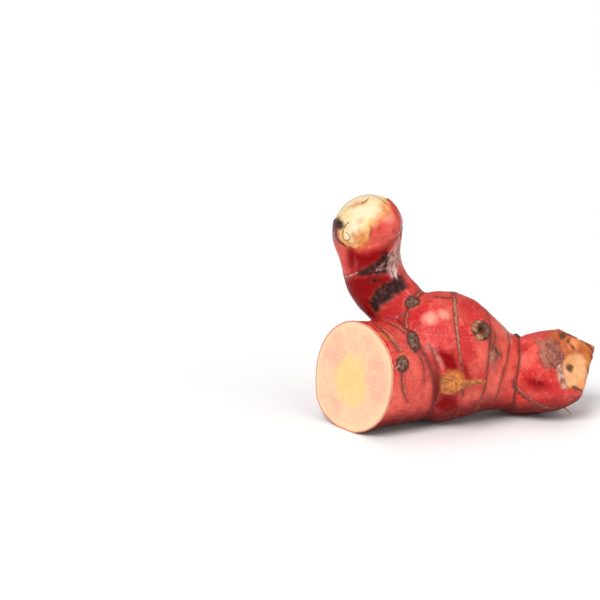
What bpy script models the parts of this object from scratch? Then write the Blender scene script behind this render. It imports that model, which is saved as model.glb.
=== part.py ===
"""One cut piece of red galangal root, lying as it comes to rest on a table.

The piece is a rhizome that grew as one body: a thick trunk, a branch cut straight through, an upright
stalk with a trimmed tip, a short bud with a broken end, and a low spur at the back that it leans on.
Frame: +Z up, -Y the side of the cut face, origin on the table under the middle of the piece.
Lengths are in millimetres up to the point where a mesh is made, and metres in the meshes.
"""

import math

import bmesh
import bpy
from mathutils import Matrix, Vector, noise

MM = 0.001

# How far the growths as laid out below are moved to bring the origin under the middle of the piece
SHIFT = Vector((-0.9, 1.5, 0.0))

# A growth's stations are (x, y, z, radius) along its core, from its root to its tip
TRUNK_STATIONS = [
    (-26.5, 1.0, 27.0, 8.0),
    (-21.0, 0.0, 25.4, 13.8),
    (-12.0, -1.8, 23.8, 20.8),
    (-4.5, -2.4, 22.8, 22.5),
    (1.4, -1.5, 22.8, 21.6),
    (6.3, -0.4, 21.6, 19.6),
    (10.2, 1.0, 19.9, 17.2),
    (13.6, 2.2, 18.0, 15.2),
    (16.6, 3.5, 16.1, 13.3),
    (21.0, 6.0, 13.6, 13.1),
    (26.0, 8.0, 12.2, 12.4),
    (31.0, 9.0, 11.4, 11.4),
]
BRANCH_STATIONS = [
    (-3.0, -2.0, 20.0, 13.0),
    (-9.0, -4.6, 20.0, 16.2),
    (-15.0, -7.4, 19.8, 17.2),
    (-21.0, -10.2, 19.3, 17.7),
    (-27.0, -13.2, 18.8, 18.3),
    (-33.2, -16.4, 19.1, 19.2),
    (-40.0, -20.5, 19.0, 19.3),
]
STALK_STATIONS = [
    (-12.0, 0.0, 31.0, 10.0),
    (-16.5, 0.3, 36.5, 10.0),
    (-20.9, 0.6, 41.1, 10.0),
    (-24.4, 1.0, 44.7, 10.0),
    (-27.6, 1.6, 50.0, 10.4),
    (-29.4, 2.4, 57.0, 10.6),
    (-30.1, 3.3, 62.0, 11.7),
    (-30.5, 3.8, 66.0, 12.3),
]
BUD_STATIONS = [
    (23.5, 5.5, 13.0, 12.0),
    (29.0, 4.2, 15.2, 13.6),
    (34.5, 3.0, 17.5, 13.9),
    (40.6, 2.3, 20.3, 12.8),
    (47.0, -2.0, 26.0, 11.5),
]
SPUR_STATIONS = [
    (-7.0, 2.0, 17.0, 11.0),
    (-10.0, 8.0, 13.5, 11.0),
    (-12.5, 13.5, 10.4, 10.5),
    (-14.0, 17.5, 9.1, 9.7),
]
ROOT_STATIONS = [
    (-4.0, -14.0, 19.0, 3.2),
    (-1.4, -19.5, 19.3, 3.7),
    (0.8, -22.3, 19.3, 3.3),
    (4.2, -22.8, 19.6, 1.3),
    (8.0, -21.8, 20.0, 0.9),
    (11.0, -20.8, 20.0, 0.5),
]

# Where the growths are cut: a point on each cut, and the way the cut faces
BRANCH_CUT = (Vector((-33.8, -16.0, 18.7)), Vector((-0.712, -0.689, 0.135)))
STALK_CUTS = [
    (Vector((-36.0, -1.0, 75.1)), Vector((-0.49, -0.43, 0.76))),
    (Vector((-29.5, -3.9, 74.2)), Vector((0.09, -0.68, 0.73))),
]
BUD_CUTS = [
    (Vector((40.5, -1.0, 21.5)), Vector((0.62, -0.60, 0.50))),
    (Vector((44.0, 6.0, 28.0)), Vector((0.38, 0.29, 0.87))),
    (Vector((46.8, 5.0, 16.8)), Vector((0.91, 0.04, -0.40))),
]

# Everything under the table's top is cut off, which leaves the small flats that the piece lies on
TABLE = (Vector((0.0, 0.0, 0.0)), Vector((0.0, 0.0, -1.0)))

# Small growths on the skin: where each one sits, the way it faces, its half width and half height
# across the skin, and how far it rises
BUMPS = [
    (Vector((-14.3, -7.5, 43.0)), Vector((0.35, -0.83, 0.43)), 2.8, 2.4, 0.9),
    (Vector((-13.4, -19.9, 32.9)), Vector((0.20, -0.67, 0.72)), 2.1, 4.2, 1.0),
    (Vector((-16.8, -26.6, 27.0)), Vector((0.19, -0.89, 0.41)), 2.2, 2.8, 0.9),
    (Vector((1.2, -12.9, 5.2)), Vector((0.31, -0.55, -0.77)), 1.3, 1.1, 0.9),
    (Vector((21.6, 3.0, 28.8)), Vector((0.15, -0.20, 0.97)), 1.6, 1.2, 1.3),
    (Vector((-3.0, 14.9, 34.0)), Vector((0.18, 0.84, 0.52)), 2.4, 2.0, 0.9),
    (Vector((30.0, 18.7, 14.0)), Vector((0.00, 0.99, 0.17)), 1.9, 1.6, 0.8),
]

# The stubs of rotted roots, each a short collar with a hollow in it: where each sits and faces
COLLARS = [
    (Vector((8.7, -13.9, 35.4)), Vector((0.46, -0.67, 0.58))),
    (Vector((13.0, 13.0, 24.0)), Vector((0.33, 0.92, 0.21))),
]
COLLAR_RADIUS = 3.7
COLLAR_RISE = 1.3
COLLAR_DEPTH = 2.5
FLARE = 0.6
HOLLOW_RADIUS = 2.2
HOLLOW_DEPTH = 2.6
HOLLOW_TAPER = 0.6
HOLLOW_OFF_CENTRE = Vector((0.45, 0.25, 0.25))

# The pit in the bud's broken end
PIT = (Vector((40.1, -2.6, 20.0)), Vector((0.62, -0.60, 0.50)))
PIT_RADIUS = 1.9
PIT_DEPTH = 1.2

# Leaf scars ring each growth: how far along it each one is, and how far it leans forward at the
# growth's top side and at its left side, seen from the root
TRUNK_SCARS = [(15.6, -3.0, -0.8), (27.6, -1.5, -0.8), (34.4, -0.5, -0.2), (42.1, 1.0, -1.3), (50.0, 1.5, 0.0)]
BRANCH_SCARS = [(11.5, 0.6, 1.2), (19.0, 0.5, 3.6), (23.9, 0.6, 1.2)]
STALK_SCARS = [(12.0, 0.0, 0.0), (29.0, -0.8, 0.8)]
BUD_SCARS = [(5.8, 0.6, -0.4)]
SPUR_SCARS = [(9.0, 0.0, 0.0), (14.0, 0.0, 0.0)]

# The branch is out of round at its lower left: the angle of the bulge there, its spread and its height
BRANCH_BULGE = (math.radians(132.0), math.radians(28.0), 1.6)

# Relief that runs all along a growth: the lip at each scar, the swelling between scars, loose lumps
SCAR_LIP = 0.4
SCAR_WIDTH = 0.8
SWELL = 0.5
LUMP = 0.7
LUMP_SIZE = 11.0

# The distance between two rings of corners where the skin is plain, and how far before and after a
# ring the core is looked at to tell which way it heads
STEP = 2.6
TURN_SPAN = 5.0

SKIN_COLOUR = (0.61, 0.080, 0.061)
SKIN_ROUGHNESS = 0.45
SHARP_ANGLE = math.radians(40.0)


class Growth:
    """A swollen tube along a smooth core: what the rhizome is made of."""

    def __init__(self, stations, scars=(), top=(0, 0, 1), depth=1.0, upright=0.0, bulge=None, sides=40):
        self.scars = scars
        self.bulge = bulge
        self.top = Vector(top)
        self.depth = depth
        self.upright = upright
        self.sides = sides
        self.core = smooth_core(stations)
        self.lengths = [0.0]
        for (before, _), (after, _) in zip(self.core, self.core[1:]):
            self.lengths.append(self.lengths[-1] + (after - before).length)

    def section(self, along):
        """Centre and radius of the section this far along the core."""
        last = len(self.core) - 2
        k = 0
        while k < last and self.lengths[k + 1] < along:
            k += 1
        share = (along - self.lengths[k]) / (self.lengths[k + 1] - self.lengths[k])
        (a, radius_a), (b, radius_b) = self.core[k], self.core[k + 1]
        return a.lerp(b, share), radius_a + (radius_b - radius_a) * share

    def at(self, along):
        """The section's centre and radius, and its axes: forward, top and side."""
        centre, radius = self.section(along)
        forward = self.section(along + TURN_SPAN)[0] - self.section(along - TURN_SPAN)[0]
        forward.z *= 1.0 - self.upright
        forward.normalize()
        top = (self.top - self.top.dot(forward) * forward).normalized()
        return centre, radius, forward, top, forward.cross(top)

    def lean(self, along, angle):
        """How far forward a ring at this place leans at this angle: its scars' own leans, blended."""
        if not self.scars:
            return 0.0
        before = max([s for s in self.scars if s[0] <= along], default=self.scars[0])
        after = min([s for s in self.scars if s[0] >= along], default=self.scars[-1])
        span = after[0] - before[0]
        share = (along - before[0]) / span if span > 0 else 0.0
        top = before[1] + (after[1] - before[1]) * share
        side = before[2] + (after[2] - before[2]) * share
        return top * math.cos(angle) + side * math.sin(angle)

    def relief(self, along):
        """The lip at each scar, and the swelling between one scar and the next."""
        height = 0.0
        for place, _, _ in self.scars:
            height += SCAR_LIP * math.exp(-(((along - place) / SCAR_WIDTH) ** 2))
        places = [s[0] for s in self.scars]
        for low, high in zip(places, places[1:]):
            if low < along < high:
                height += SWELL * math.sin(math.pi * (along - low) / (high - low))
        return height

    def swollen(self, angle):
        """How far the growth's own bulge lifts the skin at this angle."""
        if self.bulge is None:
            return 0.0
        middle, width, height = self.bulge
        return height * math.exp(-(((angle - middle) / width) ** 2))

    def surface(self, along, angle):
        """The point of the skin on the ring at this place."""
        centre, radius, _, top, side = self.at(along + self.lean(along, angle))
        out = math.cos(angle) * top + math.sin(angle) * self.depth * side
        point = centre + (radius + self.relief(along) + self.swollen(angle)) * out
        return point + LUMP * noise.noise(point / LUMP_SIZE) * out

    def rings(self):
        """Where its rings of corners go: an even step, with five close together over each scar."""
        close = [p + k * SCAR_WIDTH for p, _, _ in self.scars for k in (-1.6, -0.7, 0.0, 0.7, 1.6)]
        length = self.lengths[-1]
        count = round(length / STEP)
        even = [length * k / count for k in range(count + 1)]
        near = 0.75 * STEP
        return sorted(close + [s for s in even if all(abs(s - c) > near for c in close) or s in (0.0, length)])


def smooth_core(stations, steps=8):
    """The stations joined by a Catmull-Rom curve, as (centre, radius) pairs."""
    points = [Vector(s) for s in stations]
    points = [2 * points[0] - points[1], *points, 2 * points[-1] - points[-2]]
    curve = []
    for a, b, c, d in zip(points, points[1:], points[2:], points[3:]):
        for k in range(steps):
            t = k / steps
            curve.append(0.5 * (2 * b + (c - a) * t + (2 * a - 5 * b + 4 * c - d) * t**2 + (3 * b - a - 3 * c + d) * t**3))
    curve.append(points[-2])
    return [(p.xyz + SHIFT, p.w) for p in curve]


def ring_of_edges(bm, sides):
    """A first ring of corners, to be placed and drawn out."""
    made = bmesh.ops.create_circle(bm, cap_ends=False, segments=sides, radius=1.0)
    return made["verts"]


def draw_out(bm, ring):
    """Extrudes the ring's edges once and gives the new ring, in the same order."""
    edges = [bm.edges.get((a, b)) for a, b in zip(ring, ring[1:] + ring[:1])]
    made = bmesh.ops.extrude_edge_only(bm, edges=edges)
    fresh = {g for g in made["geom"] if isinstance(g, bmesh.types.BMVert)}
    return [next(e.other_vert(old) for e in old.link_edges if e.other_vert(old) in fresh) for old in ring]


def place(ring, points):
    for corner, point in zip(ring, points):
        corner.co = point * MM


def mesh_of(growth):
    """The growth as one closed skin with rounded ends."""
    bm = bmesh.new()
    angles = [2 * math.pi * k / growth.sides for k in range(growth.sides)]
    ring = ring_of_edges(bm, growth.sides)
    first = ring
    for count, along in enumerate(growth.rings()):
        if count:
            ring = draw_out(bm, ring)
        place(ring, [growth.surface(along, angle) for angle in angles])
    for end, way in ((first, -1), (ring, 1)):
        close_end(bm, growth, end, way)
    bmesh.ops.recalc_face_normals(bm, faces=bm.faces)
    return bm


def close_end(bm, growth, ring, way):
    """Rounds one end off: the ring is drawn out along the core as it shrinks to a point."""
    steps = 6
    start = [corner.co.copy() for corner in ring]
    centre, radius, forward, _, _ = growth.at(0.0 if way < 0 else growth.lengths[-1])
    for k in range(1, steps + 1):
        turn = 0.5 * math.pi * k / steps
        ring = draw_out(bm, ring)
        for corner, old in zip(ring, start):
            inward = centre * MM + (old - centre * MM) * math.cos(turn)
            corner.co = inward + way * forward * radius * MM * math.sin(turn)
    bmesh.ops.remove_doubles(bm, verts=ring, dist=0.01 * MM)


def cut_off(bm, cut):
    """Cuts away what lies past a plane, and closes the mesh with a flat face there."""
    point, facing = cut
    geometry = [*bm.verts, *bm.edges, *bm.faces]
    made = bmesh.ops.bisect_plane(
        bm, geom=geometry, dist=0.001 * MM, plane_co=point * MM, plane_no=facing, clear_outer=True
    )
    rim = [g for g in made["geom_cut"] if isinstance(g, bmesh.types.BMEdge)]
    bmesh.ops.contextual_create(bm, geom=rim)
    bmesh.ops.recalc_face_normals(bm, faces=bm.faces)


def add_object(name, bm, collection):
    mesh = bpy.data.meshes.new(name)
    bm.to_mesh(mesh)
    bm.free()
    obj = bpy.data.objects.new(name, mesh)
    collection.objects.link(obj)
    return obj


def moved(cut):
    point, facing = cut
    return point + SHIFT, facing.normalized()


def standing_at(point, facing):
    """A frame on the skin: Z is the way it faces, Y is upward along the skin."""
    z_axis = facing.normalized()
    x_axis = Vector((0, 0, 1)).cross(z_axis).normalized()
    turn = Matrix((x_axis, z_axis.cross(x_axis), z_axis)).transposed().to_4x4()
    return Matrix.Translation((point + SHIFT) * MM) @ turn


def bump_mesh(point, facing, half_width, half_height, rise):
    """A flat rounded bump, most of it sunk under the skin."""
    bm = bmesh.new()
    thick = 2.2 * rise
    frame = standing_at(point + (rise - thick) * facing.normalized(), facing)
    stretch = Matrix.Diagonal((half_width * 1.25, half_height * 1.25, thick, 1.0))
    bmesh.ops.create_uvsphere(bm, u_segments=14, v_segments=10, radius=MM, matrix=frame @ stretch)
    return bm


def cone_mesh(point, facing, low, high, bottom_radius, top_radius, sides):
    """A cone standing on the skin, between two heights over it."""
    bm = bmesh.new()
    frame = standing_at(point + 0.5 * (low + high) * facing.normalized(), facing)
    bmesh.ops.create_cone(
        bm, cap_ends=True, segments=sides, radius1=bottom_radius * MM, radius2=top_radius * MM,
        depth=(high - low) * MM, matrix=frame,
    )
    return bm


def hollow_mesh(point, facing, mouth, depth, radius):
    """What is taken out for a hollow: a cone that is widest at its mouth and runs on above it."""
    slope = (1.0 - HOLLOW_TAPER) * radius / depth
    above = 1.0
    return cone_mesh(
        point, facing, mouth - depth, mouth + above, HOLLOW_TAPER * radius, radius + slope * above, 12
    )


def combine(body, collection, operation):
    """Puts a Boolean of everything in the collection into the body's mesh, and empties the collection."""
    boolean = body.modifiers.new(collection.name, "BOOLEAN")
    boolean.operation = operation
    boolean.operand_type = "COLLECTION"
    boolean.collection = collection
    boolean.solver = "EXACT"
    bpy.context.view_layer.update()
    made = bpy.data.meshes.new_from_object(body.evaluated_get(bpy.context.evaluated_depsgraph_get()))
    body.modifiers.clear()
    body.data = made
    for obj in list(collection.objects):
        bpy.data.objects.remove(obj)
    bpy.data.collections.remove(collection)


def skin_material():
    material = bpy.data.materials.new("root_skin")
    material.use_nodes = True
    shader = material.node_tree.nodes["Principled BSDF"]
    shader.inputs["Base Color"].default_value = (*SKIN_COLOUR, 1.0)
    shader.inputs["Roughness"].default_value = SKIN_ROUGHNESS
    shader.inputs["Metallic"].default_value = 0.0
    return material


def new_collection(name):
    collection = bpy.data.collections.new(name)
    bpy.context.scene.collection.children.link(collection)
    return collection


def main():
    for obj in list(bpy.data.objects):
        bpy.data.objects.remove(obj)
    trunk = Growth(TRUNK_STATIONS, TRUNK_SCARS, depth=0.88, upright=0.6, sides=48)
    branch = Growth(BRANCH_STATIONS, BRANCH_SCARS, bulge=BRANCH_BULGE, sides=44)
    stalk = Growth(STALK_STATIONS, STALK_SCARS, top=(0, -1, 0), sides=36)
    bud = Growth(BUD_STATIONS, BUD_SCARS, sides=36)
    spur = Growth(SPUR_STATIONS, SPUR_SCARS, sides=28)
    root = Growth(ROOT_STATIONS, sides=10)

    body = add_object("rhizome", mesh_of(trunk), bpy.context.scene.collection)
    joined = new_collection("joined")
    for name, growth, cuts in (
        ("branch", branch, [BRANCH_CUT]),
        ("stalk", stalk, STALK_CUTS),
        ("bud", bud, BUD_CUTS),
        ("spur", spur, []),
        ("root", root, []),
    ):
        mesh = mesh_of(growth)
        for cut in cuts:
            cut_off(mesh, moved(cut))
        add_object(name, mesh, joined)
    for bump in BUMPS:
        add_object("bump", bump_mesh(*bump), joined)
    for spot in COLLARS:
        collar = cone_mesh(*spot, -COLLAR_DEPTH, COLLAR_RISE, COLLAR_RADIUS + FLARE, COLLAR_RADIUS, 20)
        add_object("collar", collar, joined)
    combine(body, joined, "UNION")

    sunk = new_collection("sunk")
    for point, facing in COLLARS:
        hollow = hollow_mesh(point + HOLLOW_OFF_CENTRE, facing, COLLAR_RISE, HOLLOW_DEPTH, HOLLOW_RADIUS)
        add_object("hollow", hollow, sunk)
    add_object("pit", hollow_mesh(*PIT, 0.0, PIT_DEPTH, PIT_RADIUS), sunk)
    combine(body, sunk, "DIFFERENCE")

    bm = bmesh.new()
    bm.from_mesh(body.data)
    cut_off(bm, TABLE)
    bm.to_mesh(body.data)
    bm.free()
    body.data.shade_smooth()
    body.data.set_sharp_from_angle(angle=SHARP_ANGLE)
    body.data.materials.clear()
    body.data.materials.append(skin_material())


main()
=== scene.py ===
"""The looks of a cut piece of red galangal root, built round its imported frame.

Lengths are in millimetres until a mesh is made. A mark on the root is placed by the pixel of the
600 by 600 photograph where it is seen, and is found on the skin by looking from the camera.
"""

import math

import bmesh
import bpy
import numpy as np
from bpy.props import FloatProperty, FloatVectorProperty, PointerProperty
from mathutils import Matrix, Vector, noise
from mathutils.bvhtree import BVHTree
from mathutils.kdtree import KDTree


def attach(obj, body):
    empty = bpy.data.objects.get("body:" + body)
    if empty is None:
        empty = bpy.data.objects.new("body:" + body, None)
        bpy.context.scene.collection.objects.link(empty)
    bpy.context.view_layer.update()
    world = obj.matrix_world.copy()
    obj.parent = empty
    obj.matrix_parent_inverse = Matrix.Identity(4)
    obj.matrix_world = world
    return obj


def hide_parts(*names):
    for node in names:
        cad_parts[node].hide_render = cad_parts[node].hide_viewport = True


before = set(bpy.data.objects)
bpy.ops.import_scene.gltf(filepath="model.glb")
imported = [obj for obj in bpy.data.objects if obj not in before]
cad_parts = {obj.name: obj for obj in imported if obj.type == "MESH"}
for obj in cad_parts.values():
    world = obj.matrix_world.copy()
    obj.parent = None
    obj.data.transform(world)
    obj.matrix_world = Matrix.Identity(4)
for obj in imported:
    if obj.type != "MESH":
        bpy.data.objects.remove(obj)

bl_info = {
    "name": "Galangal Root",
    "version": (1, 0, 0),
    "blender": (4, 5, 0),
    "location": "3D View > Sidebar > Root",
    "description": "Builds the skin, cut flesh, scars and threads of a piece of red galangal root",
    "category": "Object",
}

MM = 0.001
BODY = "root"
NODE = "rhizome"

# The camera: its place, how far it is turned to its left and tipped down, and its lens
IMAGE = 600
PIXELS_PER_MM = 2.89
CAMERA_PLACE = Vector((-0.9, -555.55, 187.26))
CAMERA_TURN = math.radians(5.466)
CAMERA_TIP = math.radians(-14.636)
LENS = 100.0
SENSOR = 36.0

# How far the growths below are moved to bring the origin under the middle of the piece
SHIFT = np.array((-0.9, 1.5, 0.0))

# The growths: stations (x, y, z, radius) along each core, and the scars that ring it, each with how
# far along it is and how far it leans forward at the growth's top and at its left side
TRUNK = dict(
    stations=[
        (-26.5, 1.0, 27.0, 8.0), (-21.0, 0.0, 25.4, 13.8), (-12.0, -1.8, 23.8, 20.8), (-4.5, -2.4, 22.8, 22.5),
        (1.4, -1.5, 22.8, 21.6), (6.3, -0.4, 21.6, 19.6), (10.2, 1.0, 19.9, 17.2), (13.6, 2.2, 18.0, 15.2),
        (16.6, 3.5, 16.1, 13.3), (21.0, 6.0, 13.6, 13.1), (26.0, 8.0, 12.2, 12.4), (31.0, 9.0, 11.4, 11.4),
    ],
    scars=[(15.6, -3.0, -0.8), (27.6, -1.5, -0.8), (34.4, -0.5, -0.2), (42.1, 1.0, -1.3), (50.0, 1.5, 0.0)],
    depth=0.88,
    upright=0.6,
)
BRANCH = dict(
    stations=[
        (-3.0, -2.0, 20.0, 13.0), (-9.0, -4.6, 20.0, 16.2), (-15.0, -7.4, 19.8, 17.2), (-21.0, -10.2, 19.3, 17.7),
        (-27.0, -13.2, 18.8, 18.3), (-33.2, -16.4, 19.1, 19.2), (-40.0, -20.5, 19.0, 19.3),
    ],
    scars=[(11.5, 0.6, 1.2), (19.0, 0.5, 3.6), (23.9, 0.6, 1.2)],
)
STALK = dict(
    stations=[
        (-12.0, 0.0, 31.0, 10.0), (-16.5, 0.3, 36.5, 10.0), (-20.9, 0.6, 41.1, 10.0), (-24.4, 1.0, 44.7, 10.0),
        (-27.6, 1.6, 50.0, 10.4), (-29.4, 2.4, 57.0, 10.6), (-30.1, 3.3, 62.0, 11.7), (-30.5, 3.8, 66.0, 12.3),
    ],
    scars=[(12.0, 0.0, 0.0), (29.0, -0.8, 0.8)],
    top=(0, -1, 0),
)
BUD = dict(
    stations=[
        (23.5, 5.5, 13.0, 12.0), (29.0, 4.2, 15.2, 13.6), (34.5, 3.0, 17.5, 13.9), (40.6, 2.3, 20.3, 12.8),
        (47.0, -2.0, 26.0, 11.5),
    ],
    scars=[(5.8, 0.6, -0.4)],
)
SPUR = dict(
    stations=[(-7.0, 2.0, 17.0, 11.0), (-10.0, 8.0, 13.5, 11.0), (-12.5, 13.5, 10.4, 10.5), (-14.0, 17.5, 9.1, 9.7)],
    scars=[(9.0, 0.0, 0.0), (14.0, 0.0, 0.0)],
)
TURN_SPAN = 5.0

# How plainly the scars show on each growth, in the order above
SCAR_FORCES = (1.0, 0.9, 0.35, 0.6, 0.8)
SEEN_FORCE = 0.15

# The cuts: a point on each, and the way it faces
BRANCH_CUT = ((-33.8, -16.0, 18.7), (-0.712, -0.689, 0.135))
BUD_CUTS = [
    ((40.5, -1.0, 21.5), (0.62, -0.60, 0.50)),
    ((44.0, 6.0, 28.0), (0.38, 0.29, 0.87)),
    ((46.8, 5.0, 16.8), (0.91, 0.04, -0.40)),
]

# The stalk's tip, and the planes over which it is peeled bare
TIP = (-30.5, 3.8, 66.0)
TIP_REACH = 20.0
PEELED = [((-34.8, -7.5, 63.5), (-0.14, -0.57, 0.81)), ((-19.4, 4.5, 73.6), (-0.19, 0.33, 0.92))]

BUD_END = (43.5, 1.5, 21.0)
BUD_REACH = 20.0

# Corky growths on the skin: where each sits, the way it faces, its half width and half height
CORKS = [
    ((-14.3, -7.5, 43.0), (0.35, -0.83, 0.43), 2.8, 2.4),
    ((-13.4, -19.9, 32.9), (0.20, -0.67, 0.72), 2.1, 4.2),
    ((-16.8, -26.6, 27.0), (0.19, -0.89, 0.41), 2.2, 2.8),
    ((1.2, -12.9, 5.2), (0.31, -0.55, -0.77), 1.3, 1.1),
    ((21.6, 3.0, 28.8), (0.15, -0.20, 0.97), 1.6, 1.2),
    ((-3.0, 14.9, 34.0), (0.18, 0.84, 0.52), 2.4, 2.0),
    ((30.0, 18.7, 14.0), (0.00, 0.99, 0.17), 1.9, 1.6),
]
COLLARS = [((8.7, -13.9, 35.4), (0.46, -0.67, 0.58)), ((13.0, 13.0, 24.0), (0.33, 0.92, 0.21))]
COLLAR_RADIUS = 3.7
HOLLOW_RADIUS = 2.2
HOLLOW_OFF_CENTRE = np.array((0.45, 0.25, 0.25))

# How the skin's mesh is made: the grid it is redrawn on, and how often it is smoothed
GRID = 0.50
SPARE = 3.0
SMOOTH_ALL = 4
SMOOTH_PLAIN = 16

# A pixel just off the outline finds the skin nearest to its line of sight: how far from the camera
# it looks, and the widest miss
SEARCH = range(500, 640, 2)
MISS = 2.5

FAR = -6.0


# The areas of the skin that differ from plain red skin
AREA_NAMES = (
    "salmon", "pale", "vivid", "deep_red_and_shade", "underside_shade", "brick", "rust", "tan", "cream", "peach", "amber", "scab", "cork",
    "bark", "soot", "frayed", "brown", "purple", "core", "flesh",
)

# Patches of the skin: the area each belongs to, the pixel of its middle, its half width and half
# height in millimetres, and how far it is turned, in degrees
PATCHES = [
    ("amber", (361, 239), 2.4, 3.2, 0), ("amber", (357, 203), 2.8, 1.0, 30), ("amber", (386, 210), 0.8, 1.6, 0),
    ("amber", (348, 244), 2.4, 0.7, 0), ("amber", (355.5, 238), 1.8, 1.6, 0), ("amber", (361.5, 220.5), 0.9, 0.6, 0),
    ("peach", (385, 207), 2.2, 2.4, 0), ("peach", (381, 215), 2.0, 1.6, 0), ("peach", (374, 222), 1.6, 1.4, 0),
    # On the next line, the pale patch at (389, 217) is a painted highlight on the stalk's right
    ("salmon", (391, 222), 4.0, 5.0, 0), ("pale", (389, 217), 2.4, 1.8, 0), ("salmon", (339, 262), 1.2, 4.0, 0), ("deep_red_and_shade", (352, 258), 2.2, 5.0, 0),
    ("soot", (373, 280.5), 1.5, 0.6, 10), ("pale", (357, 262), 1.2, 1.0, 0),
    # On the next two lines, the pale patches at (430, 318) and (444, 314) are a painted highlight on the trunk's top,
    # and the deep red patch at (446, 404) is painted shadow under the dry root
    ("pale", (430, 318), 2.6, 2.2, 0), ("pale", (444, 314), 1.8, 1.8, 0), ("vivid", (472, 305), 5.0, 3.0, 0),
    ("vivid", (418, 318), 3.4, 5.0, 0), ("vivid", (468, 345), 3.0, 6.0, 0), ("deep_red_and_shade", (446, 404), 5.0, 3.0, 0), ("salmon", (470, 401), 3.0, 4.0, 0),
    ("brown", (456, 291.5), 0.9, 0.7, 0), ("brown", (452.5, 411), 0.7, 1.4, 0),
    ("scab", (493, 357), 2.0, 1.8, 0), ("scab", (500, 355), 1.2, 1.0, 0), ("brown", (496, 351), 1.1, 1.5, 20),
    ("brown", (491, 344), 0.5, 1.6, 0),
    ("salmon", (479, 354), 3.0, 5.0, 0), ("salmon", (496, 382), 4.0, 8.0, 0), ("salmon", (499, 330), 3.0, 3.4, 0),
    ("salmon", (509, 366), 4.0, 9.0, 0), ("salmon", (515, 352), 3.0, 4.0, 0), ("salmon", (503, 350), 2.4, 6.0, 0),
    ("salmon", (414, 372), 3.0, 4.0, 0), ("salmon", (394, 400), 4.0, 6.0, 0), ("salmon", (430, 380), 2.0, 6.0, 0),
    ("bark", (475.5, 328), 1.3, 2.1, 10), ("bark", (479.5, 337), 1.6, 1.0, 20), ("bark", (478, 321.5), 1.4, 0.6, 20),
    ("amber", (453, 383), 4.0, 4.0, 0), ("amber", (463, 384), 3.4, 1.6, 0),
    ("scab", (400, 366), 1.1, 0.9, 0), ("amber", (403, 357), 0.9, 1.0, 0), ("amber", (385, 337), 0.8, 1.6, 40),
    ("salmon", (530, 352), 4.0, 6.0, 0), ("vivid", (548, 402), 6.0, 2.0, 0), ("vivid", (524, 348), 1.6, 2.0, 0),
    ("brown", (569.5, 368.5), 1.3, 1.6, 0), ("brown", (562, 335.5), 1.9, 1.2, 10), ("brown", (568, 341), 1.0, 0.8, 40),
    ("brown", (572, 347), 0.7, 1.3, 30), ("amber", (585, 347), 1.4, 1.6, 30), ("pale", (590, 372), 0.8, 2.6, 0),
    ("amber", (589, 362), 1.2, 3.4, 0), ("brown", (593, 357), 0.4, 1.0, 0), ("brown", (588, 370), 0.5, 1.3, 0),
    ("peach", (582, 384), 2.0, 1.8, 0), ("peach", (574, 344), 2.4, 1.6, 20),
    ("brown", (574, 387.5), 1.2, 0.6, -20), ("purple", (580, 390), 1.3, 0.7, -20),
]

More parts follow.
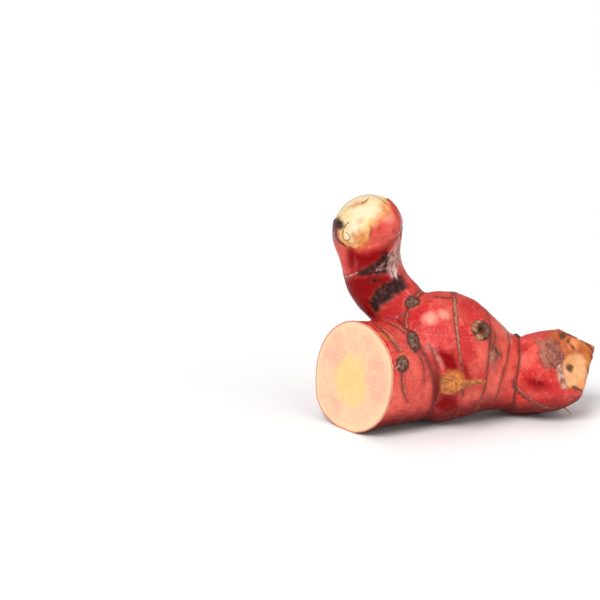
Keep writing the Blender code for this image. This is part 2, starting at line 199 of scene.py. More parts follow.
# Areas that are seen whole: the pixels round each, some of them off the root
OUTLINES = [
    ("cream", [
        (326, 204), (350, 186), (384, 188), (389, 205), (389, 210), (385, 213), (377, 220), (371, 225), (370, 232),
        (367, 241), (361, 245.5), (357, 247.5), (345, 246), (339, 240), (336, 231), (334, 218),
    ]),
    ("soot", [(332, 219), (337, 217), (342, 221), (344.5, 226), (340, 230.5), (337.5, 230), (336, 234), (332, 226)]),
    ("purple", [(330, 225), (334, 222), (335, 232), (338, 240), (334, 241), (331, 234)]),
    ("soot", [
        (369, 302), (372, 295), (376, 288), (386, 282), (391, 281), (394, 273), (402, 276), (408, 286), (403, 292),
        (395, 296), (387, 302), (380, 305), (380, 314), (374, 311), (371, 306),
    ]),
    ("soot", [
        (354, 275), (361, 269.5), (370, 265), (379, 259), (384, 252), (394, 253), (393, 262), (391, 272), (383, 275),
        (368, 276), (361, 276),
    ]),
    ("vivid", [
        (376, 321), (381, 312), (386, 303), (393, 297), (401, 291), (406, 287), (412, 290), (406, 301), (403, 311),
        (403, 324), (390, 323),
    ]),
    # Painted shade under the stalk, where it meets the trunk
    ("deep_red_and_shade", [
        (340, 280), (352, 277), (372, 274), (392, 275), (392, 281), (378, 289), (371, 297), (372, 306), (378, 320),
        (368, 320), (352, 303), (340, 288),
    ]),
    ("deep_red_and_shade", [
        (352, 250), (366, 253), (376, 249), (390, 245), (388, 254), (378, 263), (366, 268), (358, 271), (354, 262),
    ]),
    ("frayed", [
        (392, 277), (387, 269), (391, 262), (394, 254), (396, 244), (401, 240), (401, 256), (398, 268), (397, 278),
    ]),
    ("frayed", [(398, 208), (405, 208), (405, 224), (401, 233), (398, 240), (400, 230), (401, 220)]),
    ("pale", [(427, 342), (433, 346), (441, 356), (446, 367), (442, 368), (435, 358), (429, 350)]),
    # The next four outlines are deeper red with painted shade: along the valley between branch and trunk, in the
    # trunk's valley, beside the second scar and under the dry root
    ("deep_red_and_shade", [(432, 352), (438, 364), (442, 380), (442, 396), (436, 406), (432, 402), (436, 385), (435, 368)]),
    ("deep_red_and_shade", [(431, 346), (442, 350), (452, 352), (458, 360), (459, 372), (446, 371), (443, 366), (438, 356)]),
    ("deep_red_and_shade", [(461, 360), (466, 363), (469, 372), (470, 384), (465, 378), (462, 374)]),
    ("deep_red_and_shade", [(440, 394), (456, 396), (462, 408), (456, 418), (445, 418), (436, 410)]),
    ("brick", [(491, 328), (498, 334), (501, 348), (501, 360), (495, 372), (490, 374), (491, 350)]),
    ("vivid", [(520, 374), (529, 370), (541, 374), (551, 378), (557, 386), (554, 392), (540, 392), (526, 388)]),
    ("deep_red_and_shade", [(526, 379), (533, 377), (542, 380), (550, 386), (540, 388), (530, 386)]),
    # Painted shade under the bud's neck
    ("deep_red_and_shade", [(499, 402), (506, 400), (511, 405), (510, 415), (501, 410)]),
    ("scab", [
        (535, 338), (541, 341), (549, 338), (556, 342), (562, 350), (564, 359), (560, 367), (552, 367), (545, 369),
        (541, 364), (539, 355), (539, 347),
    ]),
    # Painted shade along the branch's bottom, below the cut
    ("deep_red_and_shade", [(318, 410), (324, 419), (336, 426), (350, 429), (368, 428), (372, 434), (350, 438), (328, 432), (314, 416)]),
    ("tan", [
        (562, 361), (570, 355), (580, 354), (587, 360), (588, 370), (585, 380), (577, 386), (568, 388), (564, 380),
    ]),
    ("frayed", [(557, 367), (561, 367), (562.5, 377), (566, 387), (563, 389), (559.5, 380)]),
    ("scab", [(374, 306.5), (380, 303), (387, 300), (393, 297), (393, 300), (386, 304), (380, 309), (375, 311)]),
    # A painted highlight along the ridge past the third scar
    ("pale", [(497, 317), (500, 318), (507, 328), (511, 342), (509, 343), (504, 330)]),
    ("core", [
        (345, 357), (352, 354), (361, 356), (364, 364), (364, 382), (366, 396), (361, 405), (353, 408), (345, 402),
        (338, 393), (334, 379), (337, 366),
    ]),
]
BUD_OUTLINE = [
    (546, 338), (553, 326), (570, 326), (600, 342), (602, 360), (584, 397), (576, 391), (567, 389), (560, 387),
    (557, 372), (560, 362), (556, 346),
]

# Patches of the back: the area, where it is from side to side and up, its half width and half height
BACK_PATCHES = [
    ("scab", (-25, 50), 2.2, 1.4), ("soot", (-22, 46), 2.4, 1.0), ("deep_red_and_shade", (-27, 43), 5.0, 5.0),
    ("frayed", (-29, 60), 2.2, 4.0), ("vivid", (6, 30), 6.0, 7.0), ("salmon", (-4, 28), 4.0, 8.0),
    ("scab", (14, 26), 2.4, 1.8), ("deep_red_and_shade", (-8, 24), 4.0, 4.0), ("salmon", (26, 16), 5.0, 6.0),
    ("salmon", (-30, 22), 6.0, 7.0), ("brown", (-32, 14), 0.9, 0.7), ("pale", (2, 36), 2.4, 1.8),
    ("tan", (-18, 14), 1.4, 1.0), ("scab", (32, 20), 1.6, 2.0), ("brick", (18, 18), 3.0, 4.0),
]

# Lines on the skin: the kind of each, and the pixels that it runs through with its half width in
# millimetres at each
LINES = [
    ("dark", [(421, 289.5, 0.15), (417, 293, 0.3), (413, 297, 0.3)]),
    ("dark", [(406, 311, 0.3), (404.3, 319, 0.3), (405, 326, 0.28), (409, 334, 0.2)]),
    ("dark", [
        (453, 292, 0.6), (454.6, 300, 0.86), (455.4, 314, 0.84), (456.5, 328, 0.80), (458, 340, 0.64),
        (459.5, 352, 0.5), (461, 364, 0.40), (462, 372, 0.3),
    ]),
    ("dark", [(462.5, 388, 0.2), (463, 396, 0.22)]),
    ("dark", [(434, 296.3, 0.1), (441, 297, 0.34), (448, 298, 0.26), (453, 297, 0.12)]),
    ("dark", [
        (486.5, 311, 0.2), (489.5, 321, 0.22), (491, 332, 0.28), (490, 344, 0.28), (489, 356, 0.3), (487.5, 369, 0.3),
        (486, 381, 0.34), (483.5, 392, 0.38), (480, 403, 0.42), (475, 413, 0.38),
    ]),
    ("dark", [(495.5, 334, 0.1), (494.5, 342, 0.26), (492, 351, 0.14)]),
    ("dark", [
        (503, 321, 0.1), (508, 333, 0.16), (509.5, 345, 0.2), (508, 357, 0.22), (505, 368, 0.22), (501.5, 380, 0.22),
        (498, 392, 0.26), (494, 401, 0.24),
    ]),
    ("dark", [(373, 323.5, 0.15), (380, 328.5, 0.26), (388, 337, 0.3), (394, 345, 0.3), (399, 352, 0.25)]),
    ("dark", [(401.5, 372, 0.25), (402, 384, 0.26), (404, 394, 0.24), (407.5, 402, 0.14)]),
    ("dark", [(385, 321.5, 0.1), (397, 327, 0.2), (406, 334, 0.24)]),
    ("dark", [(416, 350, 0.2), (421, 358, 0.26), (424, 368, 0.22), (424.5, 384, 0.12)]),
    ("dark", [
        (429, 345, 0.1), (433, 353, 0.2), (436.5, 364, 0.24), (438.5, 376, 0.26), (440.3, 388, 0.3), (438, 398, 0.3),
        (433, 407, 0.24), (427, 413, 0.14),
    ]),
    ("dark", [
        (519.5, 342, 0.1), (520, 352, 0.16), (519.5, 364, 0.2), (517, 374, 0.34), (513.5, 383, 0.62),
        (515.5, 389, 0.62), (522, 395, 0.46), (530, 401, 0.42), (537, 405.5, 0.46), (545, 408, 0.6), (553, 408, 0.55),
        (561, 405.8, 0.4),
    ]),
    ("dark", [(545, 355, 0.14), (549, 361, 0.22), (553, 366, 0.22), (557, 368.5, 0.14)]),
    ("dark", [(566, 333.5, 0.2), (575, 337, 0.4), (584, 342, 0.4), (591, 348.5, 0.5), (593.5, 355, 0.5), (590, 366, 0.2)]),
    ("dark", [(575, 387.5, 0.2), (579, 389.5, 0.42), (582.5, 391.5, 0.2)]),
    ("dark", [(403.5, 225, 0.14), (401, 233, 0.2), (395, 239.5, 0.2), (388, 244, 0.1)]),
    ("dark", [(334.8, 230, 0.4), (336.5, 237, 0.42), (341, 242.5, 0.3), (346, 246, 0.2), (352, 247, 0.1)]),
    # This line is the skin's edge behind the dome, drawn dark with painted shadow along it
    ("dark", [(373, 195.5, 0.1), (380, 199, 0.2), (388, 205, 0.24)]),
    ("ochre", [
        (349, 222, 0.2), (345, 226, 0.26), (343.5, 230.5, 0.26), (342.7, 235, 0.25), (344, 239.3, 0.22),
        (347.5, 240.6, 0.2), (350, 238.3, 0.18), (349, 234.8, 0.16), (345.5, 232.2, 0.12),
    ]),
    ("ochre", [(352, 206, 0.06), (346, 211, 0.09), (341, 216, 0.1), (336, 218.5, 0.08)]),
    ("ochre", [(371, 225, 0.2), (370, 230, 0.3), (369, 236, 0.18)]),
    ("ochre", [(369, 197.5, 0.2), (366, 201, 0.36), (361, 204, 0.24)]),
    ("tan", [
        (453.6, 294, 0.38), (454.8, 302, 0.60), (455.6, 314, 0.58), (456.7, 328, 0.52), (458.2, 340, 0.40),
        (459.7, 352, 0.3), (461.2, 364, 0.2),
    ]),
    ("tan", [(407.7, 313, 0.2), (406.2, 320, 0.32), (407.2, 328, 0.2)]),
    ("tan", [(423, 290, 0.14), (419, 293.5, 0.24), (416, 297, 0.2)]),
    ("tan", [(377, 324.5, 0.12), (389, 334, 0.28), (397, 343, 0.34), (401.5, 351, 0.3)]),
    ("tan", [(384, 320.3, 0.12), (396, 325, 0.24), (406.5, 332, 0.22)]),
    ("tan", [(477, 409, 0.2), (481.5, 399, 0.22), (485, 388, 0.14)]),
    ("tan", [(403.2, 373, 0.12), (404, 386, 0.18), (406, 395, 0.12)]),
    ("tan", [(517, 386.5, 0.1), (524.5, 394, 0.18), (533, 400.5, 0.18), (541, 405.5, 0.18), (550, 408, 0.1)]),
    ("tan", [(547, 353, 0.14), (551, 358, 0.2), (555, 364, 0.2), (558, 366, 0.12)]),
    ("crust", [(343.7, 276.7, 0.2), (348, 276.6, 0.34), (352, 275, 0.36), (358, 272.6, 0.2)]),
    ("crust", [(393.5, 370.5, 0.1), (397, 367.5, 0.3), (399.5, 365, 0.24)]),
]

# The kinds of line: two tones, and how high each stands over its half width
LINE_KINDS = {
    "dark": ((88, 34, 26), (138, 70, 52), 0.25),
    "tan": ((142, 74, 56), (194, 126, 102), 0.5),
    "ochre": ((150, 90, 42), (198, 134, 72), 0.2),
    "crust": ((150, 84, 74), (208, 156, 138), 0.35),
}
LINE_BREAK = 2.5

FAR_BEHIND = 200.0

# Outlined areas fade out past the edge of sight: how far round, as a cosine, and over what depth
WRAP = 0.25
WRAP_DEPTH = 8.0


class SkinSettings(bpy.types.PropertyGroup):
    """The colours and gloss of the root."""

    bright: FloatVectorProperty(
        name="Bright skin", description="The skin where it is most red", subtype="COLOR_GAMMA",
        size=3, min=0.0, max=1.0, default=(0.82, 0.10, 0.11),
    )
    salmon: FloatVectorProperty(
        name="Salmon skin", description="The skin where it fades to pink", subtype="COLOR_GAMMA",
        size=3, min=0.0, max=1.0, default=(0.82, 0.29, 0.24),
    )
    # Deep red for skin that is deeper in colour; the same colour is painted shade in hollows, in the valleys between
    # growths and on the undersides
    deep_red_and_shade: FloatVectorProperty(
        name="Deep skin", description="The skin in hollows and under scars", subtype="COLOR_GAMMA",
        size=3, min=0.0, max=1.0, default=(0.52, 0.03, 0.05),
    )
    flesh: FloatVectorProperty(
        name="Flesh", description="The pale outer flesh of the cut", subtype="COLOR_GAMMA",
        size=3, min=0.0, max=1.0, default=(0.95, 0.77, 0.63),
    )
    core: FloatVectorProperty(
        name="Core", description="The yellow middle of the cut", subtype="COLOR_GAMMA",
        size=3, min=0.0, max=1.0, default=(0.95, 0.81, 0.57),
    )
    gloss: FloatProperty(
        name="Roughness", description="How matt the skin is", subtype="FACTOR", min=0.0, max=1.0, default=0.40
    )


class StageSettings(bpy.types.PropertyGroup):
    """The floor and the light."""

    floor_size: FloatProperty(name="Floor", description="The floor's side", unit="LENGTH", default=14.0)
    key: FloatProperty(name="Key light", description="How strong the light from the front left is", min=0.0, default=2.38)
    fill: FloatProperty(name="Fill light", description="How strong the light from the right is", min=0.0, default=0.65)
    top: FloatProperty(name="Top light", description="How strong the light from above is", min=0.0, default=0.6)
    sky: FloatProperty(name="Sky", description="How bright the surroundings are", min=0.0, default=0.28)


def unit(vector):
    vector = np.array(vector, float)
    return vector / np.linalg.norm(vector)


def unit_rows(vectors):
    return vectors / np.linalg.norm(vectors, axis=1, keepdims=True)


def smoothstep(low, high, value):
    share = np.clip((value - low) / (high - low), 0.0, 1.0)
    return share * share * (3.0 - 2.0 * share)


def wave(points, size, seed=0.0):
    """Smooth noise from -1 to 1 at each point, with features of this size."""
    away = Vector((seed * 17.3, seed * 9.1, seed * 5.7))
    return np.array([noise.noise(Vector(p) / size + away) for p in points])


class Growth:
    """One limb of the root: a tube along a smooth core, ringed by scars."""

    def __init__(self, stations, scars, top=(0, 0, 1), depth=1.0, upright=0.0):
        self.scars = np.array(scars)
        self.top = np.array(top, float)
        self.depth = depth
        self.upright = upright
        core = smooth_core(stations)
        steps = np.linalg.norm(np.diff(core[:, :3], axis=0), axis=1)
        lengths = np.concatenate([[0.0], np.cumsum(steps)])
        self.length = lengths[-1]
        reach = 3.0 * TURN_SPAN
        start = core[0] + (core[0] - core[1]) * reach / steps[0]
        end = core[-1] + (core[-1] - core[-2]) * reach / steps[-1]
        self.core = np.vstack([start, core, end])
        self.lengths = np.concatenate([[-reach], lengths, [self.length + reach]])

    def section(self, along):
        found = [np.interp(along, self.lengths, self.core[:, k]) for k in range(4)]
        return np.stack(found[:3], axis=-1) + SHIFT, found[3]

    def at(self, along):
        centre, radius = self.section(along)
        forward = self.section(along + TURN_SPAN)[0] - self.section(along - TURN_SPAN)[0]
        forward[..., 2] *= 1.0 - self.upright
        forward /= np.linalg.norm(forward, axis=-1, keepdims=True)
        top = self.top - (forward @ self.top)[..., None] * forward
        top /= np.linalg.norm(top, axis=-1, keepdims=True)
        return centre, radius, forward, top, np.cross(forward, top)

    def locate(self, points):
        """How far along the growth each point is, its angle round it, and its distance over the radius."""
        best = np.full(len(points), np.inf)
        place = np.zeros(len(points))
        for along in np.arange(0.0, self.length + 1.0, 1.0):
            gap = np.linalg.norm(points - self.section(along)[0], axis=1)
            place = np.where(gap < best, along, place)
            best = np.minimum(best, gap)
        for _ in range(8):
            centre, radius, forward, top, side = self.at(place)
            step = np.einsum("ij,ij->i", points - centre, forward)
            place = np.clip(place + 0.6 * step, -2.0, self.length + 2.0)
        away = points - centre
        across = np.einsum("ij,ij->i", away, side) / self.depth
        upward = np.einsum("ij,ij->i", away, top)
        angle = np.arctan2(across, upward)
        along = place
        for _ in range(6):
            lean_top = np.interp(along, self.scars[:, 0], self.scars[:, 1])
            lean_side = np.interp(along, self.scars[:, 0], self.scars[:, 2])
            along = place - lean_top * np.cos(angle) - lean_side * np.sin(angle)
        return along, angle, np.hypot(np.hypot(across, upward), step) / radius


def smooth_core(stations, steps=8):
    """The stations joined by a Catmull-Rom curve, as rows of x, y, z and radius."""
    points = [np.array(s, float) for s in stations]
    points = [2 * points[0] - points[1], *points, 2 * points[-1] - points[-2]]
    curve = []
    for a, b, c, d in zip(points, points[1:], points[2:], points[3:]):
        for k in range(steps):
            t = k / steps
            curve.append(0.5 * (2 * b + (c - a) * t + (2 * a - 5 * b + 4 * c - d) * t**2 + (3 * b - a - 3 * c + d) * t**3))
    curve.append(points[-2])
    return np.array(curve)


class Lookout:
    """The camera, for finding what a pixel of the photograph shows."""

    def __init__(self):
        turn = Matrix.Rotation(CAMERA_TURN, 3, "Z")
        self.forward = turn @ Vector((0.0, math.cos(CAMERA_TIP), math.sin(CAMERA_TIP)))
        self.right = self.forward.cross(Vector((0, 0, 1))).normalized()
        self.up = self.right.cross(self.forward)
        self.zoom = LENS / SENSOR * IMAGE

    def ray(self, pixel):
        across, down = pixel[0] - IMAGE / 2, pixel[1] - IMAGE / 2
        return (self.forward * self.zoom + self.right * across - self.up * down).normalized()

    def pixels(self, points):
        away = points - np.array(CAMERA_PLACE)
        depth = away @ np.array(self.forward)
        across = IMAGE / 2 + self.zoom * (away @ np.array(self.right)) / depth
        down = IMAGE / 2 - self.zoom * (away @ np.array(self.up)) / depth
        return np.stack([across, down], axis=-1)


class Ground:
    """The finished skin, for standing marks and threads on it."""

    def __init__(self, bm):
        self.tree = BVHTree.FromBMesh(bm)
        self.lookout = Lookout()

    def find(self, pixel):
        """The place on the skin that this pixel shows, and the way the skin faces there."""
        way = self.lookout.ray(pixel)
        point, normal, _, _ = self.tree.ray_cast(CAMERA_PLACE * MM, way)
        if point is None:
            tries = [self.tree.find_nearest((CAMERA_PLACE + way * reach) * MM) for reach in SEARCH]
            point, normal, _, gap = min(tries, key=lambda found: found[3])
            if gap > MISS * MM:
                raise RuntimeError(f"no skin is seen at pixel {pixel}")
        return point / MM, normal

    def behind(self, across, up):
        """The place on the back of the root at this height and side, and the way the skin faces there."""
        point, normal, _, _ = self.tree.ray_cast(Vector((across, FAR_BEHIND, up)) * MM, Vector((0, -1, 0)))
        if point is None:
            raise RuntimeError(f"no skin behind {across}, {up}")
        return point / MM, normal

    def depth_inside(self, outline, points):
        """How many millimetres each point is inside this outline of pixels, as the camera sees it."""
        spots = self.lookout.pixels(points)
        gap = np.full(len(spots), np.inf)
        inside = np.zeros(len(spots), bool)
        for a, b in zip(np.array(outline, float), np.array(outline[1:] + outline[:1], float)):
            share = np.clip((spots - a) @ (b - a) / ((b - a) @ (b - a)), 0.0, 1.0)
            gap = np.minimum(gap, np.linalg.norm(spots - a - share[:, None] * (b - a), axis=1))
            if a[1] != b[1]:
                level = (spots[:, 1] > a[1]) != (spots[:, 1] > b[1])
                cross = a[0] + (spots[:, 1] - a[1]) * (b[0] - a[0]) / (b[1] - a[1])
                inside ^= level & (spots[:, 0] < cross)
        return np.where(inside, gap, -gap) / PIXELS_PER_MM

    def seen(self, points, normals):
        """How squarely each of these points of the skin faces the camera, and which of them it sees."""
        away = unit_rows(np.array(CAMERA_PLACE) - points)
        facing = np.einsum("ij,ij->i", away, normals)
        seen = facing > -WRAP
        for k in np.nonzero(facing > 0)[0]:
            start = Vector((points[k] + 0.4 * normals[k]) * MM)
            seen[k] = self.tree.ray_cast(start, Vector(away[k]))[0] is None
        return facing, seen

    def crawl(self, start, heading, length, steps, lift):
        """A path of this length over the skin, held this far off it."""
        point, normal = Vector(start), Vector((0, 0, 1))
        path = []
        for k in range(steps + 1):
            near, normal, _, _ = self.tree.find_nearest(point * MM)
            near = near / MM
            path.append(near + normal * (lift[0] + (lift[1] - lift[0]) * k / steps))
            heading = (heading - heading.dot(normal) * normal).normalized()
            point = near + heading * length / steps
        return path


class Areas:
    """Marked areas of the skin: for each name, how many millimetres inside the area each corner is."""

    def __init__(self, points, normals, ground):
        self.points = points
        self.normals = normals
        self.ground = ground
        self.facing, self.seen = ground.seen(points, normals)
        self.depths = {}

    def add(self, name, depth):
        known = self.depths.get(name, np.full(len(self.points), FAR))
        self.depths[name] = np.maximum(known, depth)

    def blob(self, name, point, facing, half_width, half_height, turn=0.0, thick=None):
        """A rounded patch on the skin. Its height runs up the skin before it is turned."""
        facing = unit(facing)
        across = unit(np.cross((0.0, 0.0, 1.0), facing))
        upward = np.cross(facing, across)
        cos, sin = math.cos(math.radians(turn)), math.sin(math.radians(turn))
        away = self.points - np.array(point)
        x = (away @ across) * cos + (away @ upward) * sin
        y = (away @ upward) * cos - (away @ across) * sin
        z = away @ facing
        small = min(half_width, half_height)
        reach = np.sqrt((x / half_width) ** 2 + (y / half_height) ** 2 + (z / (thick or 1.5 * small)) ** 2)
        self.add(name, (1.0 - reach) * small)

    def patch(self, name, pixel, half_width, half_height, turn=0.0, thick=None):
        """A rounded patch that is seen at this pixel."""
        point, facing = self.ground.find(pixel)
        self.blob(name, point, facing, half_width, half_height, turn, thick)

    def outline(self, name, pixels):
        """An area of the skin that the camera sees inside this outline."""
        depth = np.minimum(self.ground.depth_inside(pixels, self.points), WRAP_DEPTH * (self.facing + WRAP) - 1.0)
        self.add(name, np.where(self.seen, depth, FAR))

    def mask(self, name, soft, ragged=0.0):
        return smoothstep(-soft, soft, self.depths[name] + ragged)


def merged_copy(node):
    bm = bmesh.new()
    bm.from_mesh(node.data)
    bmesh.ops.remove_doubles(bm, verts=bm.verts, dist=0.001 * MM)
    return bm


def grow_past_cut(bm, cut):
    """Draws the branch's cut face out, so that the cut can be made again on the smooth skin."""
    point, facing = (np.array(cut[0]) + SHIFT) * MM, unit(cut[1])
    face_way, place = Vector(facing), Vector(point)
    chosen = [
        f for f in bm.faces
        if abs((f.calc_center_median() - place).dot(face_way)) < 0.02 * MM and f.normal.dot(face_way) > 0.99
    ]
    made = bmesh.ops.extrude_face_region(bm, geom=chosen)
    moved = [g for g in made["geom"] if isinstance(g, bmesh.types.BMVert)]
    bmesh.ops.delete(bm, geom=chosen, context="FACES")
    bmesh.ops.translate(bm, verts=moved, vec=face_way * SPARE * MM)


def redrawn(bm):
    """The mesh redrawn on an even grid, as a new bmesh."""
    mesh = bpy.data.meshes.new("redrawn")
    bm.to_mesh(mesh)
    bm.free()
    holder = bpy.data.objects.new("redrawn", mesh)
    bpy.context.scene.collection.objects.link(holder)
    remesh = holder.modifiers.new("grid", "REMESH")
    remesh.mode = "VOXEL"
    remesh.voxel_size = GRID * MM
    made = bpy.data.meshes.new_from_object(holder.evaluated_get(bpy.context.evaluated_depsgraph_get()))
    bpy.data.objects.remove(holder)
    bm = bmesh.new()
    bm.from_mesh(made)
    bpy.data.meshes.remove(made)
    bpy.data.meshes.remove(mesh)
    return bm


def places_of(bm):
    return np.array([v.co for v in bm.verts]) / MM


def near_details(points):
    """Whether each corner is close to a collar, a bump or a trimmed edge, which smoothing would wear away."""
    close = np.zeros(len(points), bool)
    for point, _ in COLLARS:
        close |= np.linalg.norm(points - (np.array(point) + SHIFT), axis=1) < 6.0
    for point, _, half_width, half_height in CORKS:
        close |= np.linalg.norm(points - (np.array(point) + SHIFT), axis=1) < 1.2 * max(half_width, half_height)
    for point, facing in BUD_CUTS:
        gap = (points - (np.array(point) + SHIFT)) @ unit(facing)
        close |= (np.abs(gap) < 1.5) & (np.linalg.norm(points - np.array(BUD_END) - SHIFT, axis=1) < BUD_REACH)
    return close


def cut_branch(bm, cut):
    """Cuts the branch straight through and closes it with rings of faces."""
    point, facing = Vector((np.array(cut[0]) + SHIFT) * MM), Vector(unit(cut[1]))
    close = [v for v in bm.verts if abs((v.co - point).dot(facing)) < 2.0 * SPARE * MM or (v.co - point).dot(facing) > 0]
    near = {v for v in close if (v.co - point).length < 35.0 * MM}
    faces = [f for f in bm.faces if all(v in near for v in f.verts)]
    edges = {e for f in faces for e in f.edges}
    corners = {v for f in faces for v in f.verts}
    made = bmesh.ops.bisect_plane(
        bm, geom=[*corners, *edges, *faces], dist=0.02 * MM, plane_co=point, plane_no=facing, clear_outer=True
    )
    rim = [g for g in made["geom_cut"] if isinstance(g, bmesh.types.BMEdge)]
    lid = bmesh.ops.contextual_create(bm, geom=rim)["faces"]
    middle = sum((v.co for v in lid[0].verts), Vector()) / len(lid[0].verts)
    rings = 22
    for k in range(rings):
        old = lid
        lid = [g for g in bmesh.ops.extrude_face_region(bm, geom=old)["geom"] if isinstance(g, bmesh.types.BMFace)]
        bmesh.ops.delete(bm, geom=old, context="FACES_ONLY")
        shrink = (rings - k - 0.5) / (rings - k + 0.5) if k else (rings - 0.5) / rings
        corners = list(lid[0].verts)
        bmesh.ops.scale(
            bm, verts=corners, vec=(shrink, shrink, shrink), space=Matrix.Translation(-middle)
        )
    bmesh.ops.poke(bm, faces=lid)


def mark_growths(areas, growths):
    """Whose skin each corner is, how far it is from the nearest scar, and where it is on its growth."""
    found = [growth.locate(areas.points) for growth in growths]
    outs = np.array([out for _, _, out in found])
    owner = outs.argmin(axis=0)
    ordered = np.sort(outs, axis=0)
    crease = (ordered[1] - ordered[0]) * 14.0
    gap = np.full(len(areas.points), 9.0)
    grain = np.zeros((len(areas.points), 3))
    for k, (growth, (along, angle, _)) in enumerate(zip(growths, found)):
        mine = owner == k
        places = growth.scars[:, 0]
        offset = along[:, None] - places[None, :]
        nearest = np.abs(offset).argmin(axis=1)
        signed = offset[np.arange(len(along)), nearest]
        gap = np.where(mine, signed, gap)
        radius = growth.section(along)[1]
        rows = np.stack([along + 40.0 * k, radius * np.cos(angle), radius * np.sin(angle)], axis=-1)
        grain = np.where(mine[:, None], rows, grain)
    return owner, crease, gap, grain


class Shade:
    """Adds nodes to one material and wires them."""

    def __init__(self, name):
        self.material = bpy.data.materials.new(name)
        self.material.use_nodes = True
        self.nodes = self.material.node_tree.nodes
        self.links = self.material.node_tree.links
        self.shader = self.nodes["Principled BSDF"]
        self.object = self.nodes.new("ShaderNodeTexCoord").outputs["Object"]

    def put(self, value, socket):
        if isinstance(value, bpy.types.NodeSocket):
            self.links.new(value, socket)
        elif isinstance(value, (tuple, list)) and len(value) == 3 and socket.type == "RGBA":
            socket.default_value = (*value, 1.0)
        else:
            socket.default_value = value

    def attribute(self, name, output="Fac"):
        node = self.nodes.new("ShaderNodeAttribute")
        node.attribute_name = name
        return node.outputs[output]

    def noise(self, size, detail=2.0, rough=0.5, vector=None, stretch=None, distortion=0.0):
        """Noise from 0 to 1 with features of this size in millimetres."""
        node = self.nodes.new("ShaderNodeTexNoise")
        node.inputs["Scale"].default_value = 1.0
        node.inputs["Detail"].default_value = detail
        node.inputs["Roughness"].default_value = rough
        node.inputs["Distortion"].default_value = distortion
        mapping = self.nodes.new("ShaderNodeMapping")
        stretch = stretch or (1.0, 1.0, 1.0)
        per = 1.0 / size if vector is not None else 1.0 / (size * MM)
        mapping.inputs["Scale"].default_value = tuple(per / s for s in stretch)
        self.put(vector if vector is not None else self.object, mapping.inputs["Vector"])
        self.put(mapping.outputs["Vector"], node.inputs["Vector"])
        return node.outputs["Fac"]

    def math(self, operation, a, b=0.0, c=0.0):
        node = self.nodes.new("ShaderNodeMath")
        node.operation = operation
        for value, socket in zip((a, b, c), node.inputs):
            self.put(value, socket)
        return node.outputs["Value"]

    def between(self, value, low, high, start=0.0, end=1.0):
        """A smooth step of the value from one limit to the other."""
        node = self.nodes.new("ShaderNodeMapRange")
        node.interpolation_type = "SMOOTHSTEP"
        for item, name in ((value, "Value"), (low, "From Min"), (high, "From Max"), (start, "To Min"), (end, "To Max")):
            self.put(item, node.inputs[name])
        return node.outputs["Result"]

    def mix(self, share, first, second, blend="MIX"):
        node = self.nodes.new("ShaderNodeMix")
        node.data_type = "RGBA"
        node.blend_type = blend
        self.put(share, node.inputs["Factor"])
        self.put(first, node.inputs["A"])
        self.put(second, node.inputs["B"])
        return node.outputs["Result"]

    def mix_value(self, share, first, second):
        node = self.nodes.new("ShaderNodeMix")
        node.data_type = "FLOAT"
        self.put(share, node.inputs["Factor"])
        self.put(first, node.inputs["A"])
        self.put(second, node.inputs["B"])
        return node.outputs["Result"]

    def area(self, name, soft, ragged=0.0, size=2.0):
        """Where a marked area of the skin is, from 0 to 1, with a ragged edge."""
        depth = self.attribute(name)
        if ragged:
            loose = self.math("MULTIPLY_ADD", self.noise(size, 3.0, 0.6), 2.0 * ragged, -ragged)
            depth = self.math("ADD", depth, loose)
        return self.between(depth, -soft, soft)

    def bump(self, height, depth_mm, normal=None):
        node = self.nodes.new("ShaderNodeBump")
        node.inputs["Strength"].default_value = 1.0
        node.inputs["Distance"].default_value = depth_mm * MM
        self.put(height, node.inputs["Height"])
        if normal is not None:
            self.put(normal, node.inputs["Normal"])
        return node.outputs["Normal"]


def linear(colour):
    """The light that a screen colour stands for."""
    return tuple(c / 12.92 if c <= 0.04045 else ((c + 0.055) / 1.055) ** 2.4 for c in colour)


def tone(red, green, blue):
    return linear((red / 255, green / 255, blue / 255))


